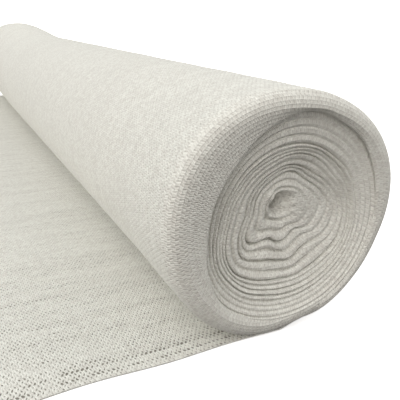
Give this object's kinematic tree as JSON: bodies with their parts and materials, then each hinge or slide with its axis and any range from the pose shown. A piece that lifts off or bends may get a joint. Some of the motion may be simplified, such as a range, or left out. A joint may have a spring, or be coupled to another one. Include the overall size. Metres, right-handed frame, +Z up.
{
  "type": "roll of shade cloth",
  "caption": "Roll of white knitted shade cloth lying on its side, its loose end laid flat; it is unrolled and cut to shade plants or a seating area.",
  "frame": {"origin": "on the floor, on the underside of the loose end, under the middle of the roll's axis", "axes": "+Y along the roll towards its far end, -X towards the cut edge of the loose end, +Z up"},
  "size_m": [0.5858, 1.847, 0.2784],
  "materials": {
    "cloth": "white knitted polyethylene net, matt with a faint sheen"
  },
  "bodies": {
    "root": {"cloth_roll": "cloth", "loose_end": "cloth"}
  },
  "joints": []
}
